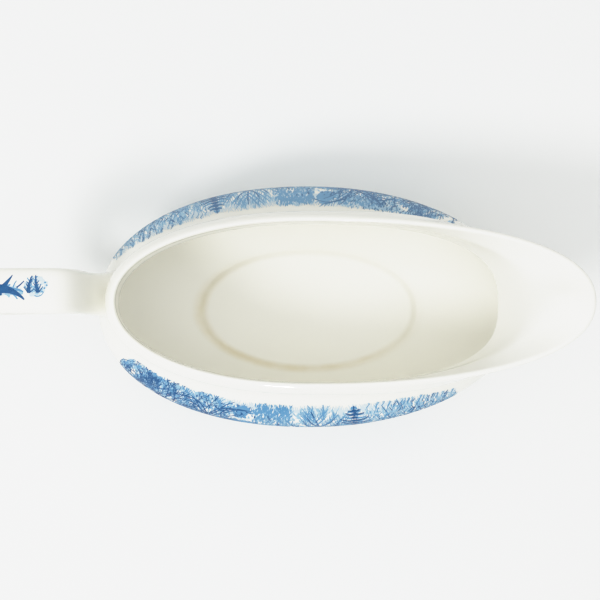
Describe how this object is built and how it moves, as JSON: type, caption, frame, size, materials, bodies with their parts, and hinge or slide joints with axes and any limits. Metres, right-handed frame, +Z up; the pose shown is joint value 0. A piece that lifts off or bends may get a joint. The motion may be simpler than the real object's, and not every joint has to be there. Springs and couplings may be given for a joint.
{
  "type": "gravy boat",
  "caption": "Oval glazed earthenware gravy boat with a bulbous bowl, flared pouring lip, raised strap handle, oval foot ring and blue printed flanks.",
  "frame": {"origin": "under the middle of the whole length, handle included, on the plane the boat stands on; the middle of the oval foot is 8.9 mm in front of it", "axes": "+X towards the pouring lip, -X towards the handle, +Y the boat's left side, +Z up"},
  "size_m": [0.2211, 0.092, 0.0888],
  "materials": {
    "cream_glaze": "glossy clear glaze over off-white earthenware",
    "foot_glaze": "glossy glaze, wiped from the resting edge",
    "handle_glaze": "glossy clear glaze over off-white earthenware",
    "blue_print_left": "cobalt blue print under clear glaze",
    "blue_print_right": "cobalt blue print under clear glaze",
    "blue_print_handle": "cobalt blue print under clear glaze"
  },
  "bodies": {
    "root": {"bowl": "cream_glaze", "foot_ring": "foot_glaze", "handle": "handle_glaze", "side_print_left": "blue_print_left", "side_print_right": "blue_print_right", "handle_print": "blue_print_handle"}
  },
  "joints": []
}
